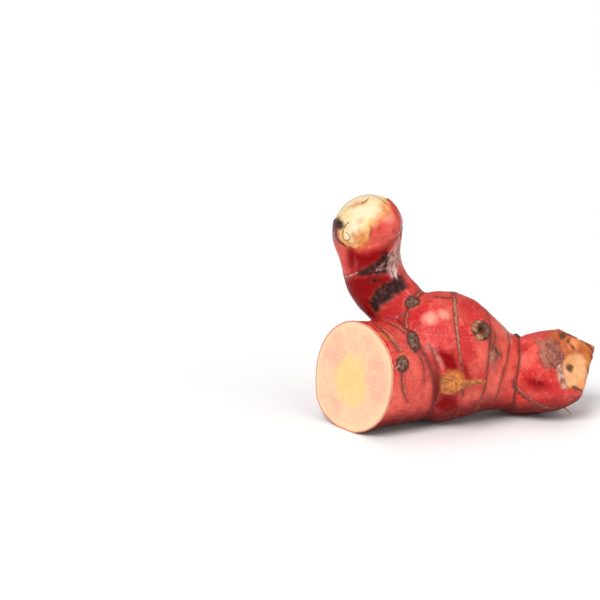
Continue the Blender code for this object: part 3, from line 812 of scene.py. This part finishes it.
def skin_material(settings):
    shade = Shade("root_skin")
    grain = shade.attribute("grain", "Vector")
    broad = shade.noise(13.0, 2.0)
    middle = shade.noise(4.0, 3.0, 0.6)
    fine = shade.noise(0.9, 3.0, 0.65)
    hoops = shade.noise(1.0, 3.0, 0.6, vector=grain, stretch=(0.7, 9.0, 9.0))
    lines = shade.noise(1.0, 3.0, 0.6, vector=grain, stretch=(14.0, 0.9, 0.9))

    fade = shade.math("ADD", shade.math("MULTIPLY", broad, 0.6), shade.math("MULTIPLY", middle, 0.4))
    colour = shade.mix(shade.between(fade, 0.40, 0.60), linear(settings.bright), linear(settings.salmon))
    colour = shade.mix(shade.area("salmon", 3.0, 1.5, 4.0), colour, tone(228, 92, 76))
    colour = shade.mix(shade.area("vivid", 1.6, 1.6, 3.0), colour, tone(196, 28, 32))
    # Pale pink: a paler bloom on the skin, and painted highlights where the pale patches sit on the trunk's top, on the
    # stalk's right and on the ridge past the third scar
    colour = shade.mix(shade.area("pale", 1.4, 1.4, 1.6), colour, tone(240, 150, 132))
    colour = shade.mix(shade.between(hoops, 0.50, 0.76, 0.0, 0.25), colour, tone(140, 26, 26))
    colour = shade.mix(shade.between(lines, 0.54, 0.78, 0.0, 0.25), colour, tone(236, 128, 104))
    colour = shade.mix(shade.between(fine, 0.50, 0.72, 0.0, 0.2), colour, tone(128, 26, 24))
    blots = shade.noise(3.2, 4.0, 0.7)
    colour = shade.mix(shade.between(blots, 0.53, 0.64, 0.0, 0.5), colour, tone(158, 30, 30))
    colour = shade.mix(shade.between(blots, 0.45, 0.34, 0.0, 0.5), colour, tone(238, 118, 98))
    flecks = shade.noise(0.7, 2.0, 0.7)
    colour = shade.mix(shade.between(flecks, 0.58, 0.74, 0.0, 0.35), colour, tone(240, 136, 112))
    colour = shade.mix(shade.between(shade.noise(1.5, 1.0), 0.70, 0.76, 0.0, 0.3), colour, tone(120, 44, 32))
    # Deep red skin, which is also the painted shade in hollows, in the valleys between growths and on the undersides
    deep_red_and_shade = shade.mix(shade.between(flecks, 0.55, 0.75, 0.0, 0.25), linear(settings.deep_red_and_shade), tone(214, 70, 62))
    colour = shade.mix(shade.area("deep_red_and_shade", 1.6, 1.2, 3.0), colour, deep_red_and_shade)
    # Painted shade: dark brownish red over the undersides
    colour = shade.mix(shade.area("underside_shade", 2.0, 1.4, 3.0), colour, tone(104, 26, 16))
    colour = shade.mix(shade.math("MULTIPLY", shade.area("brick", 1.0, 1.6, 1.6), 0.7), colour, tone(170, 84, 66))

    gap = shade.math(
        "ADD", shade.attribute("scar_gap"), shade.math("MULTIPLY_ADD", shade.noise(2.2, 3.0, 0.6), 1.3, -0.65)
    )
    force = shade.math("MULTIPLY", shade.attribute("scar_force"), shade.between(shade.noise(3.4, 3.0), 0.25, 0.55))
    near_scar = shade.between(shade.math("ABSOLUTE", gap), 2.6, 0.0, 0.0, 0.5)
    colour = shade.mix(shade.math("MULTIPLY", near_scar, force), colour, tone(150, 36, 36))
    fringe = shade.between(shade.math("ABSOLUTE", shade.math("ADD", gap, 0.30)), 0.48, 0.12)
    colour = shade.mix(shade.math("MULTIPLY", fringe, force), colour, tone(168, 88, 64))
    groove = shade.between(shade.math("ABSOLUTE", shade.math("SUBTRACT", gap, 0.22)), 0.34, 0.06)
    colour = shade.mix(shade.math("MULTIPLY", groove, force), colour, tone(84, 28, 24))
    # Painted shade: darker red where two growths meet in a crease
    crease = shade.between(shade.attribute("crease"), 0.9, 0.1, 0.0, 0.8)
    colour = shade.mix(crease, colour, tone(92, 26, 24))
    colour = shade.mix(shade.between(shade.attribute("traced"), 1.5, 0.0, 0.0, 0.55), colour, tone(140, 34, 30))

    specks = shade.noise(1.0, 4.0, 0.75)
    rust = shade.mix(shade.between(middle, 0.40, 0.60), tone(182, 84, 40), tone(212, 116, 64))
    rust = shade.mix(shade.between(specks, 0.48, 0.66), rust, tone(176, 70, 40))
    rust = shade.mix(shade.between(blots, 0.52, 0.62, 0.0, 0.8), rust, tone(110, 52, 30))
    colour = shade.mix(shade.area("rust", 0.7, 1.6, 2.4), colour, rust)
    colour = shade.mix(shade.area("peach", 1.4, 1.2, 2.0), colour, tone(238, 140, 96))
    tan = shade.mix(shade.between(middle, 0.42, 0.66), tone(236, 176, 124), tone(230, 152, 94))
    colour = shade.mix(shade.area("tan", 1.0, 1.2, 2.0), colour, tan)
    cream = shade.mix(shade.between(broad, 0.40, 0.62), tone(236, 214, 176), tone(236, 206, 134))
    cream = shade.mix(shade.between(shade.attribute("cream"), 2.4, 0.4, 0.0, 0.7), cream, tone(228, 160, 92))
    colour = shade.mix(shade.area("cream", 0.35, 0.9, 2.0), colour, cream)
    colour = shade.mix(shade.math("MULTIPLY", shade.area("peach", 1.6, 1.2, 2.0), 0.6), colour, tone(236, 150, 96))
    amber = shade.mix(shade.between(specks, 0.42, 0.62), tone(216, 140, 58), tone(176, 94, 38))
    colour = shade.mix(shade.math("MULTIPLY", shade.area("amber", 1.6, 1.4, 2.0), 0.92), colour, amber)
    scab = shade.mix(shade.between(middle, 0.40, 0.62), tone(126, 66, 54), tone(174, 104, 86))
    scab = shade.mix(shade.between(specks, 0.52, 0.70, 0.0, 0.6), scab, tone(214, 160, 146))
    scab = shade.mix(shade.between(fine, 0.50, 0.62, 0.0, 0.6), scab, tone(156, 82, 64))
    colour = shade.mix(shade.area("scab", 0.9, 1.2, 3.0), colour, scab)
    bark = shade.mix(shade.between(specks, 0.38, 0.62), tone(112, 62, 42), tone(190, 134, 92))
    cork = shade.mix(shade.between(specks, 0.36, 0.66), tone(62, 38, 30), tone(140, 100, 84))
    cork = shade.mix(shade.between(shade.attribute("cork"), 0.9, 0.2, 0.0, 0.8), cork, tone(64, 32, 26))
    colour = shade.mix(shade.area("cork", 0.25, 0.6, 1.2), colour, cork)
    colour = shade.mix(shade.area("bark", 0.25, 0.5, 1.2), colour, bark)
    soot = shade.mix(shade.between(shade.noise(1.7, 4.0, 0.75), 0.46, 0.66), tone(40, 12, 12), tone(96, 48, 42))
    colour = shade.mix(shade.area("soot", 0.9, 1.0, 1.6), colour, soot)
    frayed = shade.mix(shade.between(lines, 0.42, 0.56), tone(228, 196, 188), tone(116, 56, 54))
    frayed_share = shade.math("MULTIPLY", shade.area("frayed", 1.0, 1.0, 1.4), shade.between(lines, 0.64, 0.48, 0.1))
    colour = shade.mix(frayed_share, colour, frayed)
    colour = shade.mix(shade.area("brown", 0.6, 0.6, 1.4), colour, tone(104, 58, 34))
    colour = shade.mix(shade.area("purple", 1.0, 1.4, 2.4), colour, tone(128, 88, 96))

    pulp = shade.mix(shade.between(broad, 0.38, 0.62), linear(settings.flesh), tone(240, 178, 150))
    pulp = shade.mix(shade.between(middle, 0.45, 0.65, 0.0, 0.6), pulp, tone(243, 204, 158))
    pulp = shade.mix(shade.between(fine, 0.48, 0.70, 0.0, 0.5), pulp, tone(226, 160, 134))
    grains = shade.noise(0.8, 2.0, 0.6, stretch=(0.7, 0.7, 3.0))
    pulp = shade.mix(shade.between(grains, 0.60, 0.74, 0.0, 0.6), pulp, tone(252, 226, 186))
    heart = shade.mix(shade.between(grains, 0.40, 0.64), linear(settings.core), tone(246, 196, 122))
    pulp = shade.mix(shade.area("core", 1.5, 2.2, 2.2), pulp, heart)
    pulp = shade.mix(shade.between(shade.attribute("rind"), 4.0, 0.6, 0.0, 0.6), pulp, tone(242, 212, 168))
    pulp = shade.mix(shade.between(shade.attribute("rind"), 0.7, 0.15, 0.0, 0.85), pulp, tone(206, 84, 66))
    pulp = shade.mix(shade.between(shade.noise(1.8, 2.0), 0.68, 0.74, 0.0, 0.3), pulp, tone(200, 160, 122))
    colour = shade.mix(shade.between(shade.attribute("flesh"), -0.12, 0.05), colour, pulp)
    shade.put(colour, shade.shader.inputs["Base Color"])

    dry = shade.math("MAXIMUM", shade.area("cork", 0.4, 0.3), shade.area("soot", 0.6, 0.8))
    dry = shade.math("MAXIMUM", dry, shade.area("scab", 0.6, 0.6))
    rough = shade.between(middle, 0.3, 0.7, settings.gloss - 0.07, settings.gloss + 0.09)
    rough = shade.mix_value(dry, rough, 0.85)
    rough = shade.mix_value(shade.between(shade.attribute("flesh"), -0.1, 0.05), rough, 0.50)
    shade.put(rough, shade.shader.inputs["Roughness"])
    dull = shade.math("MAXIMUM", shade.area("underside_shade", 2.0), shade.area("deep_red_and_shade", 2.0))
    shade.put(shade.mix_value(dull, 0.35, 0.05), shade.shader.inputs["Specular IOR Level"])
    height = shade.math("ADD", shade.math("MULTIPLY", fine, 0.5), shade.math("MULTIPLY", lines, 0.3))
    height = shade.math("ADD", height, shade.math("MULTIPLY", hoops, 0.2))
    height = shade.math("ADD", height, shade.noise(2.4, 2.0))
    shade.put(shade.bump(height, 0.34), shade.shader.inputs["Normal"])
    return shade.material


def past_planes(areas, planes, middle, reach):
    """How far each corner of one end of the root is past the nearest of its planes, where it is out of sight."""
    over = np.full(len(areas.points), FAR)
    for point, facing in planes:
        over = np.maximum(over, (areas.points - np.array(point) - SHIFT) @ unit(facing))
    near = np.linalg.norm(areas.points - np.array(middle) - SHIFT, axis=1) < reach
    return np.where(near & (areas.facing < 0), over, FAR)


def mark_places(areas):
    """Marks every area that differs from plain skin."""
    for point, facing, half_width, half_height in CORKS:
        areas.blob("cork", np.array(point) + SHIFT, facing, half_width, half_height)
    for point, facing in COLLARS:
        areas.blob("cork", np.array(point) + SHIFT, facing, COLLAR_RADIUS, COLLAR_RADIUS, thick=4.0)
        # Each collar's hollow is dark brown: its dry inside, darkened further with painted shade
        hollow = np.array(point) + SHIFT + HOLLOW_OFF_CENTRE - unit(facing)
        areas.blob("brown", hollow, facing, HOLLOW_RADIUS, HOLLOW_RADIUS, thick=3.0)

    for name, pixel, half_width, half_height, turn in PATCHES:
        areas.patch(name, pixel, half_width, half_height, turn)
    for name, pixels in OUTLINES:
        areas.outline(name, pixels)
    areas.outline("rust", BUD_OUTLINE)
    for name, (across, up), half_width, half_height in BACK_PATCHES:
        areas.blob(name, *areas.ground.behind(across, up), half_width, half_height)
    areas.add("cream", past_planes(areas, PEELED, TIP, TIP_REACH))
    areas.add("rust", past_planes(areas, BUD_CUTS, BUD_END, BUD_REACH) * 2.0 + 1.0)

    point = np.array(BRANCH_CUT[0]) + SHIFT
    facing = unit(BRANCH_CUT[1])
    height = (areas.points - point) @ facing
    close = np.linalg.norm(areas.points - point, axis=1) < 26.0
    areas.add("flesh", np.where(close & (np.abs(height) < 0.2), 1.0, FAR))
    areas.add("flesh", np.where(close, height + 0.02, FAR))


def gap_to(points, others):
    """How far each point is from the nearest of the others."""
    tree = KDTree(len(others))
    for k, other in enumerate(others):
        tree.insert(other, k)
    tree.balance()
    return np.array([tree.find(point)[2] for point in points])


def rim_of_cut(bm, points):
    """The corners where the cut face meets the skin."""
    facing = Vector(unit(BRANCH_CUT[1]))
    near = np.abs((points - np.array(BRANCH_CUT[0]) - SHIFT) @ unit(BRANCH_CUT[1])) < 0.1
    rim = [v.index for v in bm.verts if near[v.index] and min(f.normal.dot(facing) for f in v.link_faces) < 0.9]
    return points[rim]


def traced(ground, stations):
    """The points of the skin under a line of pixels, the skin's normals there, and the half widths."""
    curve = smooth_core(stations)
    found = [ground.find((x, y)) for x, y, _ in curve]
    return [point for point, _ in found], [normal for _, normal in found], list(curve[:, 2])


def set_attribute(mesh, name, values, kind="FLOAT"):
    layer = mesh.attributes.new(name, kind, "POINT")
    layer.data.foreach_set("value" if kind == "FLOAT" else "vector", np.asarray(values, np.float32).ravel())


def add_piece(name, bm, material, rides=True):
    mesh = bpy.data.meshes.new(name)
    bm.to_mesh(mesh)
    bm.free()
    mesh.shade_smooth()
    mesh.materials.append(material)
    piece = bpy.data.objects.new(name, mesh)
    bpy.context.scene.collection.objects.link(piece)
    if rides:
        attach(piece, BODY)
    return piece


class GALANGAL_OT_skin(bpy.types.Operator):
    """Builds the root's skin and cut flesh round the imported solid"""

    bl_idname = "galangal.skin"
    bl_label = "Skin and Flesh"

    def execute(self, context):
        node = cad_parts[NODE]
        bm = merged_copy(node)
        grow_past_cut(bm, BRANCH_CUT)
        bm = redrawn(bm)
        bmesh.ops.recalc_face_normals(bm, faces=bm.faces)
        plain = ~near_details(places_of(bm))
        for _ in range(SMOOTH_ALL):
            bmesh.ops.smooth_vert(bm, verts=bm.verts, factor=0.5, use_axis_x=True, use_axis_y=True, use_axis_z=True)
        chosen = [v for v, is_plain in zip(bm.verts, plain) if is_plain]
        for _ in range(SMOOTH_PLAIN):
            bmesh.ops.smooth_vert(bm, verts=chosen, factor=0.5, use_axis_x=True, use_axis_y=True, use_axis_z=True)
        cut_branch(bm, BRANCH_CUT)
        bmesh.ops.recalc_face_normals(bm, faces=bm.faces)
        bm.normal_update()
        ground = Ground(bm)
        bm.verts.index_update()
        points = places_of(bm)
        normals = np.array([v.normal for v in bm.verts])
        areas = Areas(points, normals, ground)
        growths = [Growth(**kind) for kind in (TRUNK, BRANCH, STALK, BUD, SPUR)]
        owner, crease, gap, grain = mark_growths(areas, growths)
        mark_places(areas)
        flesh = areas.depths["flesh"] > 0
        rind = np.full(len(points), 9.0)
        rind[flesh] = gap_to(points[flesh], rim_of_cut(bm, points))
        lines = [row for _, stations in LINES for row in traced(ground, stations)[0]]
        traced_gap = np.full(len(points), 9.0)
        traced_gap[areas.seen] = gap_to(points[areas.seen], np.array(lines))

        # Painted shade on the undersides: skin that faces down or sits low is darkened, with the deep red on the next
        # line and with the dark underside colour on the one after
        areas.add("deep_red_and_shade", -3.4 - 7.0 * normals[:, 2] - 0.03 * points[:, 2])
        areas.add("underside_shade", -5.8 - 9.0 * normals[:, 2] - 0.10 * points[:, 2])
        force = np.array(SCAR_FORCES)[owner] * smoothstep(0.2, 1.0, crease) * np.where(areas.seen, SEEN_FORCE, 1.0)
        wobble = gap + 0.45 * wave(points, 3.0, 1)
        lift = 0.30 * np.exp(-(((wobble + 0.5) / 0.6) ** 2)) - 0.30 * np.exp(-(((wobble - 0.5) / 0.5) ** 2))
        move = lift * force
        move += 0.16 * wave(points, 5.0, 2) + 0.06 * wave(points, 1.6, 3)
        rough = wave(points, 1.1, 4)
        move += areas.mask("cork", 0.4) * (0.25 + 0.35 * rough)
        move += areas.mask("scab", 0.5) * (0.25 + 0.35 * rough)
        move += areas.mask("soot", 0.8) * 0.30 * rough
        move += areas.mask("rust", 0.8) * 0.20 * wave(points, 2.2, 6)
        move -= areas.mask("cream", 0.35) * 0.45
        move += areas.mask("brown", 0.3) * 0.15 * (1.0 + rough)
        move -= 0.16 * smoothstep(0.9, 0.1, traced_gap)
        move = np.where(areas.depths["flesh"] > -1.0, 0.03 * wave(points, 1.2, 5), move)
        for vert, push, normal, point in zip(bm.verts, move, normals, points):
            placed = point + normal * push
            placed[2] = max(placed[2], 0.0)
            vert.co = Vector(placed * MM)

        piece = add_piece("root_skin", bm, skin_material(context.scene.galangal_skin))
        mesh = piece.data
        set_attribute(mesh, "scar_gap", np.clip(gap, -9, 9))
        set_attribute(mesh, "scar_force", force)
        set_attribute(mesh, "crease", crease)
        set_attribute(mesh, "rind", rind)
        set_attribute(mesh, "traced", traced_gap)
        set_attribute(mesh, "grain", grain, "FLOAT_VECTOR")
        for name in AREA_NAMES:
            set_attribute(mesh, name, areas.depths.get(name, np.full(len(points), FAR)))
        mesh.set_sharp_from_angle(angle=math.radians(60.0))
        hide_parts(NODE)
        print("skin", len(mesh.polygons), "faces")
        return {"FINISHED"}




def smooth_path(stations, steps=6):
    """A smooth run through a few stations of x, y, z and radius: its points, and its radii."""
    curve = smooth_core(stations, steps)
    return [Vector(row) for row in curve[:, :3]], list(curve[:, 3])


def tube(bm, path, radii, sides, normals=None, flat=1.0):
    """A closed tube along a path, drawn out ring by ring from a circle, and flattened along the normals."""
    made = bmesh.ops.create_circle(bm, cap_ends=False, segments=sides, radius=MM)
    ring = made["verts"]
    rings = [ring]
    for _ in path[1:]:
        edges = [bm.edges.get((a, b)) for a, b in zip(ring, ring[1:] + ring[:1])]
        fresh = {g for g in bmesh.ops.extrude_edge_only(bm, edges=edges)["geom"] if isinstance(g, bmesh.types.BMVert)}
        ring = [next(e.other_vert(old) for e in old.link_edges if e.other_vert(old) in fresh) for old in ring]
        rings.append(ring)
    side = None
    for k, (ring, centre, radius) in enumerate(zip(rings, path, map(float, radii))):
        forward = (path[min(k + 1, len(path) - 1)] - path[max(k - 1, 0)]).normalized()
        if normals:
            side = normals[k].cross(forward)
        side = side or forward.orthogonal()
        side = (side - side.dot(forward) * forward).normalized()
        other = forward.cross(side) * flat
        for n, corner in enumerate(ring):
            angle = 2.0 * math.pi * n / sides
            corner.co = (centre + radius * (math.cos(angle) * side + math.sin(angle) * other)) * MM
    for ring in (rings[0], rings[-1]):
        bmesh.ops.contextual_create(bm, geom=ring)
    bmesh.ops.recalc_face_normals(bm, faces=bm.faces)


def lump(bm, centre, sizes):
    """A rounded block, narrower to its right, with a crumpled front."""
    made = bmesh.ops.create_cube(bm, size=2.0)
    edges = list({e for v in made["verts"] for e in v.link_edges})
    bmesh.ops.subdivide_edges(bm, edges=edges, cuts=14, use_grid_fill=True)
    for vert in bm.verts:
        block = vert.co.copy()
        round_share = 0.45
        place = block.lerp(block.normalized() * 1.25, round_share)
        narrow = 1.0 - 0.30 * max(place.x, 0.0)
        place.y *= narrow
        place.z *= narrow
        fold = math.exp(-(((place.x - 0.25 + 0.8 * (place.z + 0.1)) / 0.16) ** 2)) * (abs(place.z) < 0.8)
        push = 0.10 * noise.noise(place * 1.7) + 0.05 * noise.noise(place * 4.0)
        place += place.normalized() * push
        if place.y < 0.0:
            place.y += 0.22 * fold
        vert.co = (centre + Vector((place.x * sizes[0], place.y * sizes[1], place.z * sizes[2]))) * MM
    bmesh.ops.recalc_face_normals(bm, faces=bm.faces)


def stub_material():
    shade = Shade("dry_root")
    mottle = shade.noise(2.6, 3.0, 0.6)
    fine = shade.noise(0.6, 3.0, 0.7)
    fibre = shade.noise(0.7, 3.0, 0.6, stretch=(5.0, 1.0, 1.0))
    colour = shade.mix(shade.between(mottle, 0.35, 0.65), tone(140, 74, 32), tone(190, 106, 48))
    colour = shade.mix(shade.between(fibre, 0.50, 0.70, 0.0, 0.7), colour, tone(220, 150, 80))
    colour = shade.mix(shade.between(fine, 0.58, 0.78, 0.0, 0.4), colour, tone(96, 52, 26))
    shade.put(colour, shade.shader.inputs["Base Color"])
    shade.shader.inputs["Roughness"].default_value = 0.7
    shade.put(shade.bump(shade.math("ADD", fine, fibre), 0.2), shade.shader.inputs["Normal"])
    return shade.material


def fibre_material():
    shade = Shade("pale_fibre")
    along = shade.noise(2.2, 3.0, 0.6)
    fine = shade.noise(0.5, 2.0, 0.6)
    colour = shade.mix(shade.between(along, 0.38, 0.62), tone(176, 120, 108), tone(222, 184, 172))
    colour = shade.mix(shade.between(fine, 0.55, 0.75, 0.0, 0.5), colour, tone(120, 66, 58))
    shade.put(colour, shade.shader.inputs["Base Color"])
    shade.shader.inputs["Roughness"].default_value = 0.6
    shade.put(shade.bump(fine, 0.08), shade.shader.inputs["Normal"])
    return shade.material


# The dry root: its block's middle and half sizes, and the thread that runs on from it
STUB_MIDDLE = (-0.6, -21.6, 19.2)
STUB_SIZES = (3.3, 2.7, 3.2)
THREAD = [(1.2, -22.9, 19.3, 2.0), (4.2, -23.0, 19.6, 1.35), (8.0, -21.9, 20.1, 0.95), (11.2, -20.7, 20.0, 0.55)]
ROOTLET = [(565.0, 409.0), (569.0, 412.5), (572.4, 415.6)]

# Bunches of loose threads: the pixels of the patch that they start in, the pixel that they head for,
# how many there are, their length, and how thick they are
BUNCHES = [
    ("neck_fibres", (387, 256), (398, 276), (405, 226), 34, (4.0, 9.0), (0.07, 0.17)),
    ("scar_fibres", (372, 266), (392, 272), (400, 246), 12, (1.5, 3.5), (0.05, 0.10)),
    ("bud_fibres", (556, 364), (561, 372), (567, 396), 16, (3.5, 7.0), (0.07, 0.17)),
]


def ground_of(name):
    """The finished skin, read back from its piece."""
    bm = bmesh.new()
    bm.from_mesh(bpy.data.objects[name].data)
    ground = Ground(bm)
    bm.free()
    return ground


def line_material(kind, low, high):
    shade = Shade(f"{kind}_line")
    mottle = shade.noise(0.9, 3.0, 0.7)
    shade.put(shade.mix(shade.between(mottle, 0.38, 0.62), low, high), shade.shader.inputs["Base Color"])
    shade.shader.inputs["Roughness"].default_value = 0.75
    shade.put(shade.bump(shade.noise(0.4, 3.0, 0.7), 0.15), shade.shader.inputs["Normal"])
    return shade.material


def add_line(bm, path, normals, radii, flat):
    """One strip on the skin, broken where the line jumps from one part of the root to another."""
    start = 0
    ragged = [r * (1.0 + 0.55 * noise.noise(p * 1.3) + 0.3 * noise.noise(p * 4.0)) for p, r in zip(path, radii)]
    for k in range(1, len(path) + 1):
        if k == len(path) or (path[k] - path[k - 1]).length > LINE_BREAK:
            if k - start > 2:
                tube(bm, path[start:k], ragged[start:k], 8, normals[start:k], flat)
            start = k


class GALANGAL_OT_dry_root(bpy.types.Operator):
    """Builds the dry stub of a root on the trunk's front, and the thread that it ends in"""

    bl_idname = "galangal.dry_root"
    bl_label = "Dry Root"

    def execute(self, context):
        bm = bmesh.new()
        shift = Vector(SHIFT)
        lump(bm, Vector(STUB_MIDDLE) + shift, STUB_SIZES)
        path, radii = smooth_path(THREAD, 8)
        radii = [r * (1.0 + 0.14 * noise.noise(p * 0.9)) for p, r in zip(path, radii)]
        tube(bm, [p + shift for p in path], radii, 12)
        add_piece("dry_root", bm, stub_material())
        return {"FINISHED"}


class GALANGAL_OT_fibres(bpy.types.Operator):
    """Builds the loose pale threads on the stalk, the bud and the patch between"""

    bl_idname = "galangal.fibres"
    bl_label = "Loose Threads"

    def execute(self, context):
        ground = ground_of("root_skin")
        material = fibre_material()
        rng = np.random.default_rng(7)
        for name, low, high, goal, count, lengths, widths in BUNCHES:
            bm = bmesh.new()
            for _ in range(count):
                start = (rng.uniform(low[0], high[0]), rng.uniform(low[1], high[1]))
                point, _ = ground.find(start)
                end, _ = ground.find(goal)
                heading = (end - point).normalized()
                stray = Vector(rng.normal(0.0, 0.10, 3))
                length = rng.uniform(*lengths)
                path = ground.crawl(point, (heading + stray).normalized(), length, 9, (0.05, rng.uniform(0.05, 0.5)))
                width = rng.uniform(*widths)
                radii = [width * (1.0 - 0.75 * k / len(path)) for k in range(len(path))]
                tube(bm, path, radii, 5)
            add_piece(name, bm, material)
        return {"FINISHED"}


class GALANGAL_OT_lines(bpy.types.Operator):
    """Builds the scars' dark edges, papery rims and cracks as thin raised strips on the skin"""

    bl_idname = "galangal.lines"
    bl_label = "Scar Lines"

    def execute(self, context):
        ground = ground_of("root_skin")
        for kind, (low, high, flat) in LINE_KINDS.items():
            bm = bmesh.new()
            for name, stations in LINES:
                if name == kind:
                    add_line(bm, *traced(ground, stations), flat)
            add_piece(f"{kind}_lines", bm, line_material(kind, tone(*low), tone(*high)))
        return {"FINISHED"}


class GALANGAL_OT_rootlet(bpy.types.Operator):
    """Builds the fine rootlet under the bud"""

    bl_idname = "galangal.rootlet"
    bl_label = "Rootlet"

    def execute(self, context):
        ground = ground_of("root_skin")
        start, _ = ground.find(ROOTLET[0])
        spread = ground.lookout.right
        down = -ground.lookout.up
        stations = []
        for pixel, radius in zip(ROOTLET, (0.30, 0.20, 0.10)):
            across = (pixel[0] - ROOTLET[0][0]) / PIXELS_PER_MM
            fall = (pixel[1] - ROOTLET[0][1]) / PIXELS_PER_MM
            stations.append((*(start + spread * across + down * fall), radius))
        path, radii = smooth_path(stations, 6)
        bm = bmesh.new()
        tube(bm, path, radii, 8)
        add_piece("rootlet", bm, stub_material())
        return {"FINISHED"}


def aim(obj, place, target):
    obj.location = place
    obj.rotation_euler = (Vector(target) - Vector(place)).to_track_quat("-Z", "Y").to_euler()


class GALANGAL_OT_stage(bpy.types.Operator):
    """Sets up the pale floor, the soft light and the camera"""

    bl_idname = "galangal.stage"
    bl_label = "Stage"

    def execute(self, context):
        scene = context.scene
        settings = scene.galangal_stage
        bm = bmesh.new()
        bmesh.ops.create_grid(bm, x_segments=2, y_segments=2, size=settings.floor_size / 2)
        shade = Shade("floor")
        pale = shade.mix(shade.between(shade.noise(40.0, 3.0), 0.3, 0.7), (0.95, 0.95, 0.95), (0.96, 0.96, 0.96))
        shade.put(pale, shade.shader.inputs["Base Color"])
        shade.shader.inputs["Roughness"].default_value = 0.9
        floor = add_piece("floor", bm, shade.material, rides=False)

        for name, place, power, width in (
            ("key", (-0.34, -0.84, 0.92), settings.key, 30.0),
            ("fill", (0.80, -0.60, 0.55), settings.fill, 50.0),
            ("top", (0.15, 0.10, 1.30), settings.top, 60.0),
        ):
            light = bpy.data.lights.new(name, "SUN")
            light.energy = power
            light.angle = math.radians(width)
            lamp = bpy.data.objects.new(name, light)
            scene.collection.objects.link(lamp)
            aim(lamp, place, (0.0, 0.0, 0.03))

        world = bpy.data.worlds.new("surroundings")
        world.use_nodes = True
        background = world.node_tree.nodes["Background"]
        background.inputs["Color"].default_value = (1.0, 1.0, 1.0, 1.0)
        background.inputs["Strength"].default_value = settings.sky
        scene.world = world
        scene.view_settings.view_transform = "Standard"

        camera = bpy.data.objects.new("camera", bpy.data.cameras.new("camera"))
        camera.data.lens = LENS
        camera.data.sensor_width = SENSOR
        camera.location = CAMERA_PLACE * MM
        camera.rotation_euler = (math.radians(90.0) + CAMERA_TIP, 0.0, CAMERA_TURN)
        scene.collection.objects.link(camera)
        scene.camera = camera
        return {"FINISHED"}


class GALANGAL_PT_panel(bpy.types.Panel):
    """Lists the root's pieces and settings"""

    bl_idname = "GALANGAL_PT_panel"
    bl_label = "Galangal Root"
    bl_space_type = "VIEW_3D"
    bl_region_type = "UI"
    bl_category = "Root"

    def draw(self, context):
        column = self.layout.column()
        for kind in OPERATORS:
            column.operator(kind.bl_idname)
        for settings in (context.scene.galangal_skin, context.scene.galangal_stage):
            for name in settings.__annotations__:
                column.prop(settings, name)


OPERATORS = (
    GALANGAL_OT_stage, GALANGAL_OT_skin, GALANGAL_OT_lines, GALANGAL_OT_dry_root, GALANGAL_OT_fibres,
    GALANGAL_OT_rootlet,
)
CLASSES = (SkinSettings, StageSettings, *OPERATORS, GALANGAL_PT_panel)


def register():
    for kind in CLASSES:
        bpy.utils.register_class(kind)
    bpy.types.Scene.galangal_skin = PointerProperty(type=SkinSettings)
    bpy.types.Scene.galangal_stage = PointerProperty(type=StageSettings)


def unregister():
    del bpy.types.Scene.galangal_skin
    del bpy.types.Scene.galangal_stage
    for kind in reversed(CLASSES):
        bpy.utils.unregister_class(kind)


def main():
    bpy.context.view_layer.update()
    register()
    bpy.ops.galangal.stage()
    bpy.ops.galangal.skin()
    bpy.ops.galangal.lines()
    bpy.ops.galangal.dry_root()
    bpy.ops.galangal.fibres()
    bpy.ops.galangal.rootlet()


if __name__ == "__main__":
    main()
